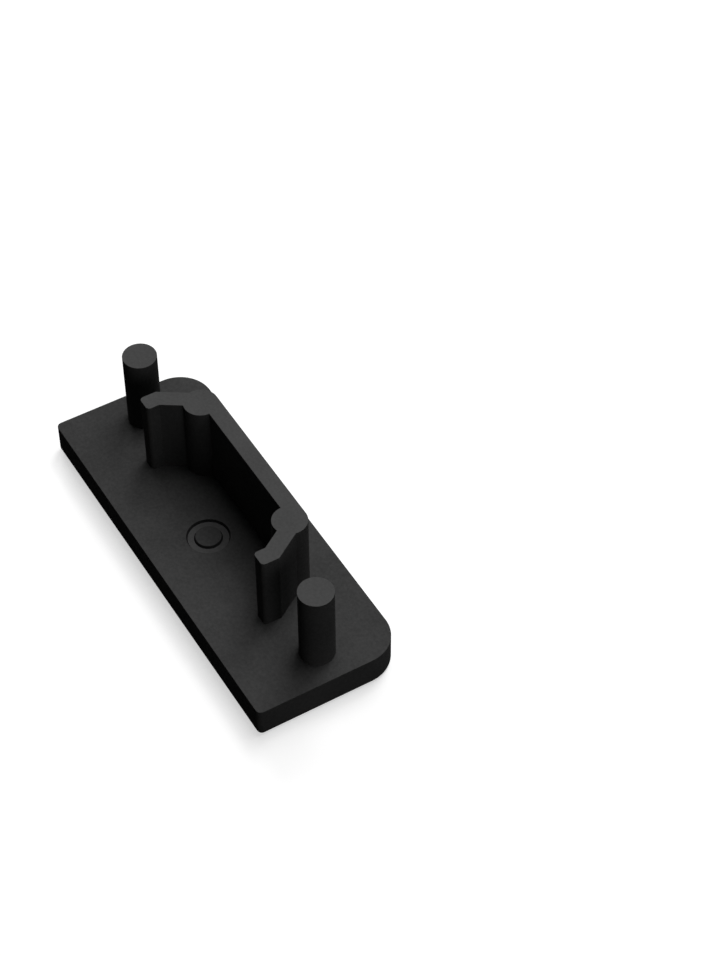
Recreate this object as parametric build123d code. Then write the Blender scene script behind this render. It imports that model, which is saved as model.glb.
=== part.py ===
from build123d import *
import math
import os

# Profile end cap, moulded in one piece of black plastic.
# A flat plate closes the cut end of an extruded profile. Two round pins press into
# the profile's screw ports, and a hooked rail between them fits inside its channel.
# The plate lies on its outer face at z = 0, and the pins and the rail point up.
# x runs along the plate, y towards the rear edge with the two large corners.

# Plate
plate_length = 30.3
plate_width = 11.3
plate_thickness = 2.5
rear_corner_radius = 2.55
# Round of the outer face's rim and of the two small front corners
edge_radius = 0.4

# Pins: the inset is from the plate's end to the pin's axis,
# and the shift is from the plate's middle towards the rear
pin_diameter = 2.5
pin_height = 6.3
pin_inset = 2.6
pin_shift = 0.32

# Rail: a bar along the rear, a bead at each end of it, and an arm with a straight tip
# that leans out from each bead. The insets are from the plate's ends and rear edge.
rail_height = 6.3
rail_wall = 1.25
rail_inset = 6.32
rail_rear_inset = 2.5
rail_depth = 4.77
tip_length = 1.12
tip_corner_radius = 0.3
bead_diameter = 2.5
# From the tip's outer face in to the bead's axis
bead_inset = 2.53
# From the bead's axis out to the point that the arm's middle line aims at
arm_aim = 0.34

# Ring groove round a flush disc, the mark of a round mould insert. The diameters are
# taken at the inner face, both walls slope by ring_wall_run, and the mark sits
# ring_shift to the side of the plate's middle.
ring_outer_diameter = 3.12
ring_inner_diameter = 1.83
ring_depth = 0.19
ring_wall_run = 0.1
ring_shift = -0.11
ring_front_inset = 4.485

# Faces and centre lines that several features share
inner_face = plate_thickness
rail_rear = plate_width / 2 - rail_rear_inset
rail_front = rail_rear - rail_depth
tip_x = plate_length / 2 - rail_inset - rail_wall / 2
bead_x = plate_length / 2 - rail_inset - bead_inset
bead_y = rail_rear - bead_diameter / 2


def make_plate():
    plate = Box(plate_length, plate_width, plate_thickness, align=(Align.CENTER, Align.CENTER, Align.MIN))
    upright = plate.edges().filter_by(Axis.Z).sort_by(Axis.Y)
    plate = fillet(upright[-2:], rear_corner_radius)
    front_corners = plate.edges().filter_by(Axis.Z).sort_by(Axis.Y)[:2]
    outer_rim = plate.faces().sort_by(Axis.Z)[0].edges()
    return fillet(front_corners + outer_rim, edge_radius)


def make_pins():
    pin_x = plate_length / 2 - pin_inset
    places = Locations((-pin_x, pin_shift, inner_face), (pin_x, pin_shift, inner_face))
    stand = (Align.CENTER, Align.CENTER, Align.MIN)
    return [place * Cylinder(pin_diameter / 2, pin_height, align=stand) for place in places]


def make_arm():
    """One arm with its tip, on the +x side: a strip of the rail's wall, bent once at the knee."""
    knee = Vector(tip_x, rail_front + tip_length)
    aim = Vector(bead_x + arm_aim, bead_y)
    lean = math.atan2(knee.X - aim.X, aim.Y - knee.Y)
    half = rail_wall / 2
    mitre = Vector(half, half * math.tan(lean / 2))
    across = Vector(math.cos(lean), math.sin(lean)) * half
    outline = Polyline(
        (tip_x - half, rail_front),
        (tip_x + half, rail_front),
        knee + mitre,
        aim + across,
        aim - across,
        knee - mitre,
        close=True,
    )
    arm = make_face(outline)
    tip_corners = arm.vertices().sort_by(Axis.Y)[:2]
    return fillet(tip_corners, tip_corner_radius)


def make_rail():
    bar_y = rail_rear - rail_wall / 2
    section = Pos(0, bar_y) * Rectangle(2 * bead_x, rail_wall)
    section += [place * Circle(bead_diameter / 2) for place in Locations((-bead_x, bead_y), (bead_x, bead_y))]
    arm = make_arm()
    section += [arm, mirror(arm, about=Plane.YZ)]
    return Pos(0, 0, inner_face) * extrude(section, rail_height)


def make_ring_groove():
    outer = ring_outer_diameter / 2
    inner = ring_inner_diameter / 2
    section = Polyline(
        (outer, 0, 0),
        (outer - ring_wall_run, 0, -ring_depth),
        (inner + ring_wall_run, 0, -ring_depth),
        (inner, 0, 0),
        close=True,
    )
    ring_y = ring_front_inset - plate_width / 2
    return Pos(ring_shift, ring_y, inner_face) * revolve(make_face(section), Axis.Z)


end_cap = make_plate() + make_pins() + make_rail() - make_ring_groove()
end_cap.label = "end_cap"

os.makedirs("parts", exist_ok=True)
export_step(end_cap, "parts/end_cap.step")
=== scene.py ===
import math

import bmesh
import bpy
from mathutils import Euler, Matrix, Vector


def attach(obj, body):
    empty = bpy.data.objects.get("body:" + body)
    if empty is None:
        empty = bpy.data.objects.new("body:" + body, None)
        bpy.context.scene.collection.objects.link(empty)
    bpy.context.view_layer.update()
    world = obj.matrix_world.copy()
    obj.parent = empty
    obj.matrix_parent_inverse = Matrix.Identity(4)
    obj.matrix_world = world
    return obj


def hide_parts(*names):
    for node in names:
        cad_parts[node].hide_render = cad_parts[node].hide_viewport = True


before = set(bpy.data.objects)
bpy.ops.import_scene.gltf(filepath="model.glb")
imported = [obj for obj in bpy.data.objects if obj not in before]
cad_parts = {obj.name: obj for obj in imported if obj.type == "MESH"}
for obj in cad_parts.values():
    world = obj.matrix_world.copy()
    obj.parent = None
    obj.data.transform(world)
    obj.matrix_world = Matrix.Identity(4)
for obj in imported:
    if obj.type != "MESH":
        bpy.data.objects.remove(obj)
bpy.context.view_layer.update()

# Profile end cap of matte black plastic, lying on its outer face with its pins and rail up.
# Its mesh is worked in millimetres and turned to metres as the last step.
MM = 0.001

# Sizes in millimetres, the same as the solid's
PLATE_LENGTH = 30.3
PLATE_WIDTH = 11.3
PLATE_THICKNESS = 2.5
REAR_CORNER_RADIUS = 2.55
RIM_RADIUS = 0.4
PIN_RADIUS = 1.25
PIN_HEIGHT = 6.3
PIN_INSET = 2.6
PIN_SHIFT = 0.32
RAIL_HEIGHT = 6.3
RAIL_WALL = 1.25
RAIL_INSET = 6.32
RAIL_REAR_INSET = 2.5
RAIL_DEPTH = 4.77
TIP_LENGTH = 1.12
TIP_CORNER_RADIUS = 0.3
BEAD_RADIUS = 1.25
BEAD_INSET = 2.53
ARM_AIM = 0.34
RING_OUTER_RADIUS = 1.56
RING_INNER_RADIUS = 0.915
RING_DEPTH = 0.19
RING_WALL_RUN = 0.1
RING_SHIFT = -0.11
RING_FRONT_INSET = 4.485

# Places that follow from them
PIN_X = PLATE_LENGTH / 2 - PIN_INSET
PIN_TOP = PLATE_THICKNESS + PIN_HEIGHT
RAIL_REAR = PLATE_WIDTH / 2 - RAIL_REAR_INSET
RAIL_FRONT = RAIL_REAR - RAIL_DEPTH
RAIL_TOP = PLATE_THICKNESS + RAIL_HEIGHT
TIP_X = PLATE_LENGTH / 2 - RAIL_INSET - RAIL_WALL / 2
BEAD_X = PLATE_LENGTH / 2 - RAIL_INSET - BEAD_INSET
BEAD_Y = RAIL_REAR - BEAD_RADIUS
KNEE = Vector((TIP_X, RAIL_FRONT + TIP_LENGTH))
LEAN = math.atan2(KNEE.x - BEAD_X - ARM_AIM, BEAD_Y - KNEE.y)
RING_AXIS = Vector((RING_SHIFT, RING_FRONT_INSET - PLATE_WIDTH / 2))
GROOVE_FLOOR = PLATE_THICKNESS - RING_DEPTH

# The plastic leaves the mould's sharp edges with a round of two hundredths of a millimetre
CRISP_RADIUS = 0.02
CRISP_SEGMENTS = 4

# How finely the curves are divided
REAR_CORNER_SEGMENTS = 24
RIM_SEGMENTS = 8
PIN_SEGMENTS = 96
RING_SEGMENTS = 72
ARC_STEP_DEGREES = 4.0
FEWEST_ARC_STEPS = 4

# Points nearer than this in height or place count as one
SAME = 1e-4
# Edges that turn by more than this are shaded as sharp
SHARP_DEGREES = 28


def round_edges(bm, edges, radius, segments):
    bmesh.ops.bevel(
        bm, geom=edges, offset=radius, offset_type="OFFSET", segments=segments,
        profile=0.5, affect="EDGES", material=-1, clamp_overlap=False,
    )


def at_height(parts, height):
    """Those edges or faces that lie flat at this height."""
    return [part for part in parts if all(abs(v.co.z - height) < SAME for v in part.verts)]


def upright(edges):
    """Those edges that run straight up."""
    return [e for e in edges if e.verts[0].co.xy == e.verts[1].co.xy]


def of_type(parts, kind):
    return [part for part in parts if isinstance(part, kind)]


def line(bm, start, x, y):
    """Draws a straight edge from a vertex and returns its far end."""
    end = bm.verts.new((x, y, start.co.z))
    bm.edges.new((start, end))
    return end


def arc(bm, start, centre, degrees):
    """Turns a vertex about an upright axis, which draws an arc, and returns its far end."""
    turned = bmesh.ops.spin(
        bm, geom=[start], cent=(*centre, start.co.z), axis=(0, 0, 1), angle=math.radians(degrees),
        steps=max(FEWEST_ARC_STEPS, round(abs(degrees) / ARC_STEP_DEGREES)),
    )
    return of_type(turned["geom_last"], bmesh.types.BMVert)[0]


def make_plate():
    """The plate without its inner face, which is filled in later round the pins, the rail and the ring."""
    bm = bmesh.new()
    bmesh.ops.create_cube(bm, size=1.0)
    bmesh.ops.scale(bm, verts=bm.verts, vec=(PLATE_LENGTH, PLATE_WIDTH, PLATE_THICKNESS))
    bmesh.ops.translate(bm, verts=bm.verts, vec=(0, 0, PLATE_THICKNESS / 2))
    rear_corners = [e for e in upright(bm.edges) if e.verts[0].co.y > 0]
    round_edges(bm, rear_corners, REAR_CORNER_RADIUS, REAR_CORNER_SEGMENTS)
    front_corners = [e for e in upright(bm.edges) if e.verts[0].co.y < -PLATE_WIDTH / 4]
    round_edges(bm, front_corners + at_height(bm.edges, 0), RIM_RADIUS, RIM_SEGMENTS)
    round_edges(bm, at_height(bm.edges, PLATE_THICKNESS), CRISP_RADIUS, CRISP_SEGMENTS)
    bmesh.ops.delete(bm, geom=at_height(bm.faces, PLATE_THICKNESS), context="FACES_ONLY")
    return bm


def make_pin(x):
    """A round pin that stands on the inner face, open below."""
    bm = bmesh.new()
    bmesh.ops.create_cone(
        bm, cap_ends=True, cap_tris=False, segments=PIN_SEGMENTS, radius1=PIN_RADIUS, radius2=PIN_RADIUS,
        depth=PIN_HEIGHT, matrix=Matrix.Translation((x, PIN_SHIFT, PLATE_THICKNESS + PIN_HEIGHT / 2)),
    )
    round_edges(bm, at_height(bm.edges, PIN_TOP), CRISP_RADIUS, CRISP_SEGMENTS)
    bmesh.ops.delete(bm, geom=at_height(bm.faces, PLATE_THICKNESS), context="FACES_ONLY")
    return bm


def bead_angle(offset):
    """Where a face of the arm, this far from the bead's axis, meets the bead, in degrees."""
    return math.degrees(LEAN - math.acos(offset / BEAD_RADIUS))


def make_rail():
    """The outline is drawn on the +x side, mirrored, and raised to the rail's height."""
    bm = bmesh.new()
    half = RAIL_WALL / 2
    corner = TIP_CORNER_RADIUS
    mitre = Vector((half, half * math.tan(LEAN / 2)))
    bead = Vector((BEAD_X, BEAD_Y))
    arm_offset = ARM_AIM * math.cos(LEAN)
    outer = bead_angle(arm_offset + half)
    inner = bead_angle(arm_offset - half)
    inner_turn = math.radians(inner)
    # From the bar's rear face round the bead, out along the arm to the tip, and back inside
    at = bm.verts.new((0, RAIL_REAR, PLATE_THICKNESS))
    at = line(bm, at, BEAD_X, RAIL_REAR)
    at = arc(bm, at, bead, outer - 90)
    at = line(bm, at, *(KNEE + mitre))
    at = line(bm, at, TIP_X + half, RAIL_FRONT + corner)
    at = arc(bm, at, (TIP_X + half - corner, RAIL_FRONT + corner), -90)
    at = line(bm, at, TIP_X - half + corner, RAIL_FRONT)
    at = arc(bm, at, (TIP_X - half + corner, RAIL_FRONT + corner), -90)
    at = line(bm, at, *(KNEE - mitre))
    at = line(bm, at, *(bead + BEAD_RADIUS * Vector((math.cos(inner_turn), math.sin(inner_turn)))))
    at = arc(bm, at, bead, -180 - inner)
    line(bm, at, 0, BEAD_Y)
    bmesh.ops.mirror(
        bm, geom=bm.verts[:] + bm.edges[:], matrix=Matrix.Identity(4), merge_dist=SAME, axis="X",
    )
    raised = bmesh.ops.extrude_edge_only(bm, edges=bm.edges)["geom"]
    bmesh.ops.translate(bm, verts=of_type(raised, bmesh.types.BMVert), vec=(0, 0, RAIL_HEIGHT))
    rim = at_height(bm.edges, RAIL_TOP)
    bmesh.ops.contextual_create(bm, geom=rim)
    bmesh.ops.recalc_face_normals(bm, faces=bm.faces)
    round_edges(bm, rim, CRISP_RADIUS, CRISP_SEGMENTS)
    return bm


def make_ring():
    """The groove's section is spun about the ring's axis, and the disc inside it is filled."""
    bm = bmesh.new()
    section = (
        (RING_OUTER_RADIUS, PLATE_THICKNESS), (RING_OUTER_RADIUS - RING_WALL_RUN, GROOVE_FLOOR),
        (RING_INNER_RADIUS + RING_WALL_RUN, GROOVE_FLOOR), (RING_INNER_RADIUS, PLATE_THICKNESS),
    )
    verts = [bm.verts.new((RING_AXIS.x + radius, RING_AXIS.y, z)) for radius, z in section]
    for pair in zip(verts, verts[1:]):
        bm.edges.new(pair)
    bmesh.ops.spin(
        bm, geom=bm.verts[:] + bm.edges[:], cent=(*RING_AXIS, 0), axis=(0, 0, 1),
        angle=math.tau, steps=RING_SEGMENTS, use_merge=True,
    )
    middle = (RING_OUTER_RADIUS + RING_INNER_RADIUS) / 2
    rims = at_height(bm.edges, PLATE_THICKNESS)
    disc = [e for e in rims if (e.verts[0].co.xy - RING_AXIS).length < middle]
    bmesh.ops.contextual_create(bm, geom=disc)
    return bm


def make_cap():
    """Joins the parts into one closed skin by filling the inner face between their open edges."""
    mesh = bpy.data.meshes.new("cap_body")
    whole = bmesh.new()
    for part in (make_plate(), make_pin(-PIN_X), make_pin(PIN_X), make_rail(), make_ring()):
        part.to_mesh(mesh)
        whole.from_mesh(mesh)
        part.free()
    rims = [e for e in whole.edges if e.is_boundary]
    bmesh.ops.triangle_fill(whole, edges=rims, use_beauty=True, use_dissolve=False, normal=(0, 0, 1))
    bmesh.ops.recalc_face_normals(whole, faces=whole.faces)
    bmesh.ops.scale(whole, verts=whole.verts, vec=(MM, MM, MM))
    for face in whole.faces:
        face.smooth = True
    whole.to_mesh(mesh)
    whole.free()
    mesh.set_sharp_from_angle(angle=math.radians(SHARP_DEGREES))
    cap = bpy.data.objects.new("cap_body", mesh)
    bpy.context.scene.collection.objects.link(cap)
    cap.modifiers.new("even_shading", "WEIGHTED_NORMAL").keep_sharp = True
    return cap


def linear(hex_colour):
    """An sRGB hex value as the linear colour that the shader wants."""
    channels = [int(hex_colour[i:i + 2], 16) / 255 for i in (1, 3, 5)]
    return [c / 12.92 if c <= 0.04045 else ((c + 0.055) / 1.055) ** 2.4 for c in channels] + [1.0]


def socket(sockets, name):
    """A node's socket by its number, or by its name, where settings may hide others of that name."""
    if isinstance(name, int):
        return sockets[name]
    return next(s for s in sockets if s.name == name and s.enabled)


def add_node(tree, kind, settings=None, inputs=None, links=None):
    """Adds a node with its own settings, its sockets' values and the sockets that feed it."""
    node = tree.nodes.new(kind)
    for name, value in (settings or {}).items():
        setattr(node, name, value)
    for name, value in (inputs or {}).items():
        socket(node.inputs, name).default_value = value
    for name, source in (links or {}).items():
        tree.links.new(source, socket(node.inputs, name))
    return node


def new_material(name):
    material = bpy.data.materials.new(name)
    material.use_nodes = True
    material.node_tree.nodes.clear()
    return material, material.node_tree


# The plastic's patterns, by width in millimetres. Spark-eroded grain is about 0.1 mm across.
# It is drawn at 0.22 mm, or it wouldn't show.
GRAIN_WIDTH = 0.22
GRAIN_HEIGHT = 0.012
FLOW_WIDTH = 4.5
# Most of a pattern's values lie between these two, so its colours run from one to the other
PATTERN_RANGE = (0.3, 0.7)
# The darkest and the lightest tone of the plastic, and of the faces that are painted a shade lighter as
# painted light
BODY_TONES = ("#363636", "#454545")
PAINTED_LIGHT_TONES = ("#444444", "#4f4f4f")
# The painted shade on the ring groove's walls
PAINTED_GROOVE_SHADE_TONE = "#222222"
# How near to the ends, the ring's rim and the groove's faces a point still counts as on them
END_MARGIN = 0.02
RING_MARGIN = 0.05
GROOVE_MARGIN = 0.002


def make_black_plastic():
    """ABS coloured through with carbon black, moulded against a spark-eroded cavity. The fine pits of the
    cavity break up the gloss, so it looks matte and even, and black rather than grey on faces turned away."""
    material, tree = new_material("moulded_matte_black_abs")
    place = add_node(tree, "ShaderNodeTexCoord").outputs["Object"]
    grain = add_node(
        tree, "ShaderNodeTexNoise", links={"Vector": place},
        inputs={"Scale": 1 / (GRAIN_WIDTH * MM), "Detail": 2.0, "Roughness": 0.55},
    ).outputs["Fac"]
    # Slow change of tone over a few millimetres, where the melt flowed and cooled
    flow = add_node(
        tree, "ShaderNodeTexNoise", links={"Vector": place},
        inputs={"Scale": 1 / (FLOW_WIDTH * MM), "Detail": 3.0, "Roughness": 0.5},
    ).outputs["Fac"]
    blend = add_node(
        tree, "ShaderNodeMix", {"data_type": "FLOAT"}, inputs={"Factor": 0.5}, links={"A": grain, "B": flow},
    )
    tones = []
    for pair in (BODY_TONES, PAINTED_LIGHT_TONES):
        ramp = add_node(tree, "ShaderNodeValToRGB", links={"Fac": socket(blend.outputs, "Result")})
        for stop, position, colour in zip(ramp.color_ramp.elements, PATTERN_RANGE, pair):
            stop.position = position
            stop.color = linear(colour)
        tones.append(ramp.outputs["Color"])
    height = add_node(tree, "ShaderNodeSeparateXYZ", links={"Vector": place}).outputs["Z"]
    from_ring = add_node(
        tree, "ShaderNodeVectorMath", {"operation": "DISTANCE"},
        inputs={1: (RING_AXIS.x * MM, RING_AXIS.y * MM, PLATE_THICKNESS * MM)}, links={0: place},
    ).outputs["Value"]
    in_ring = add_node(
        tree, "ShaderNodeMath", {"operation": "LESS_THAN"},
        inputs={1: (RING_OUTER_RADIUS + RING_MARGIN) * MM}, links={0: from_ring},
    ).outputs["Value"]
    # The ends of the pins and the rail, and the floor of the ring groove, are painted a shade lighter:
    # painted light that stands in for the brighter light these faces show against the rest of the plate
    at_end = add_node(
        tree, "ShaderNodeMath", {"operation": "GREATER_THAN"},
        inputs={1: (PIN_TOP - END_MARGIN) * MM}, links={0: height},
    ).outputs["Value"]
    at_floor = add_node(
        tree, "ShaderNodeMath", {"operation": "LESS_THAN"},
        inputs={1: (GROOVE_FLOOR + GROOVE_MARGIN) * MM}, links={0: height},
    ).outputs["Value"]
    painted_light_mask = add_node(
        tree, "ShaderNodeMath", {"operation": "MULTIPLY_ADD"}, links={0: in_ring, 1: at_floor, 2: at_end},
    ).outputs["Value"]
    # Mixes the painted light into the ends and the groove floor
    colour = add_node(
        tree, "ShaderNodeMix", {"data_type": "RGBA"}, links={"Factor": painted_light_mask, "A": tones[0], "B": tones[1]},
    )
    # The groove's steep walls are painted a deeper black: painted shade in the recess
    at_wall_height = add_node(
        tree, "ShaderNodeMath", {"operation": "COMPARE"},
        inputs={1: (PLATE_THICKNESS - RING_DEPTH / 2) * MM, 2: (RING_DEPTH / 2 - GROOVE_MARGIN) * MM},
        links={0: height},
    ).outputs["Value"]
    groove_shade_mask = add_node(
        tree, "ShaderNodeMath", {"operation": "MULTIPLY"}, links={0: in_ring, 1: at_wall_height},
    ).outputs["Value"]
    colour = add_node(
        tree, "ShaderNodeMix", {"data_type": "RGBA"}, inputs={"B": linear(PAINTED_GROOVE_SHADE_TONE)},
        links={"Factor": groove_shade_mask, "A": socket(colour.outputs, "Result")},
    )
    rough = add_node(
        tree, "ShaderNodeMapRange", inputs={"To Min": 0.9, "To Max": 1.0}, links={"Value": flow},
    ).outputs["Result"]
    bump = add_node(
        tree, "ShaderNodeBump", inputs={"Strength": 0.35, "Distance": GRAIN_HEIGHT * MM},
        links={"Height": grain},
    ).outputs["Normal"]
    shader = add_node(
        tree, "ShaderNodeBsdfPrincipled", inputs={"IOR": 1.54, "Specular IOR Level": 0.001},
        links={"Base Color": socket(colour.outputs, "Result"), "Roughness": rough, "Normal": bump},
    )
    add_node(tree, "ShaderNodeOutputMaterial", links={"Surface": shader.outputs["BSDF"]})
    return material


def where_seen(tree):
    """Gives 1 on the camera's rays and on those that mirror or pass through something, which show the
    background, and 0 on the rays that light the cap."""
    rays = add_node(tree, "ShaderNodeLightPath").outputs
    either = add_node(
        tree, "ShaderNodeMath", {"operation": "MAXIMUM"},
        links={0: rays["Is Camera Ray"], 1: rays["Is Glossy Ray"]},
    ).outputs["Value"]
    return add_node(
        tree, "ShaderNodeMath", {"operation": "MAXIMUM"}, links={0: either, 1: rays["Is Transmission Ray"]},
    ).outputs["Value"]


def make_floor_finish():
    """Matte white board. It looks white and keeps the cap's shadow, but throws little light on the cap."""
    material, tree = new_material("matte_white_board")
    board = add_node(tree, "ShaderNodeBsdfDiffuse", inputs={"Color": linear("#cbcbcb")})
    glow = add_node(tree, "ShaderNodeEmission", inputs={"Color": linear("#ffffff"), "Strength": 0.58})
    white = add_node(
        tree, "ShaderNodeAddShader", links={0: board.outputs["BSDF"], 1: glow.outputs["Emission"]},
    )
    dim = add_node(tree, "ShaderNodeBsdfDiffuse", inputs={"Color": linear("#303030")})
    pick = add_node(
        tree, "ShaderNodeMixShader",
        links={0: where_seen(tree), 1: dim.outputs["BSDF"], 2: white.outputs["Shader"]},
    )
    add_node(tree, "ShaderNodeOutputMaterial", links={"Surface": pick.outputs["Shader"]})
    return material


# The floor reaches this far from the cap, in metres, and lies just clear of the cap, in millimetres
FLOOR_REACH = 2.0
FLOOR_GAP = 0.01


def make_floor():
    mesh = bpy.data.meshes.new("floor")
    bm = bmesh.new()
    bmesh.ops.create_grid(bm, x_segments=1, y_segments=1, size=FLOOR_REACH)
    bmesh.ops.translate(bm, verts=bm.verts, vec=(0, 0, -FLOOR_GAP * MM))
    bm.to_mesh(mesh)
    bm.free()
    floor = bpy.data.objects.new("floor", mesh)
    bpy.context.scene.collection.objects.link(floor)
    floor.data.materials.append(make_floor_finish())
    return floor


def make_world():
    """White where it is seen, and next to no light on the cap, so that its sides stay black."""
    world = bpy.data.worlds.new("studio")
    world.use_nodes = True
    tree = world.node_tree
    tree.nodes.clear()
    white = add_node(tree, "ShaderNodeBackground", inputs={"Color": linear("#ffffff"), "Strength": 1.0})
    faint = add_node(tree, "ShaderNodeBackground", inputs={"Color": linear("#ffffff"), "Strength": 0.01})
    pick = add_node(
        tree, "ShaderNodeMixShader",
        links={0: where_seen(tree), 1: faint.outputs["Background"], 2: white.outputs["Background"]},
    )
    add_node(tree, "ShaderNodeOutputWorld", links={"Surface": pick.outputs["Shader"]})
    bpy.context.scene.world = world


# From the cap's middle, in metres
LAMP_DISTANCE = 0.7


def add_softbox(name, azimuth, elevation, width, power):
    """A square softbox that faces the cap from this direction. Degrees, metres and watts."""
    turn, rise = math.radians(azimuth), math.radians(elevation)
    towards = Vector((math.cos(rise) * math.cos(turn), math.cos(rise) * math.sin(turn), math.sin(rise)))
    light = bpy.data.lights.new(name, "AREA")
    light.shape = "SQUARE"
    light.size = width
    light.energy = power
    lamp = bpy.data.objects.new(name, light)
    bpy.context.scene.collection.objects.link(lamp)
    lamp.location = LAMP_DISTANCE * towards
    lamp.rotation_euler = (-towards).to_track_quat("-Z", "Y").to_euler()


# Where the photograph was taken from, by a fit to the cap's edges: metres, degrees and millimetres
CAMERA_PLACE = (0.10261101, -0.04927779, 0.13515218)
CAMERA_TURN = (41.73043734, 0.17288898, 59.39546264)
SENSOR_WIDTH = 36.0
FOCAL_LENGTH = 93.902


def make_camera():
    lens = bpy.data.cameras.new("camera")
    lens.sensor_width = SENSOR_WIDTH
    lens.lens = FOCAL_LENGTH
    lens.clip_start = 0.005
    lens.clip_end = 20.0
    camera = bpy.data.objects.new("camera", lens)
    bpy.context.scene.collection.objects.link(camera)
    camera.location = CAMERA_PLACE
    camera.rotation_euler = Euler([math.radians(angle) for angle in CAMERA_TURN], "XYZ")
    bpy.context.scene.camera = camera


make_camera()
cap = make_cap()
cap.data.materials.append(make_black_plastic())
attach(cap, "root")
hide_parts("end_cap")
make_floor()

make_world()
add_softbox("top_softbox", 99, 75, 0.37, 2.2)
add_softbox("rear_softbox", 123, 50, 0.3, 1.75)
add_softbox("far_softbox", 166, 23, 0.3, 2.25)
add_softbox("near_softbox", 2, 19, 0.34, 0.72)

bpy.context.scene.view_settings.view_transform = "Standard"
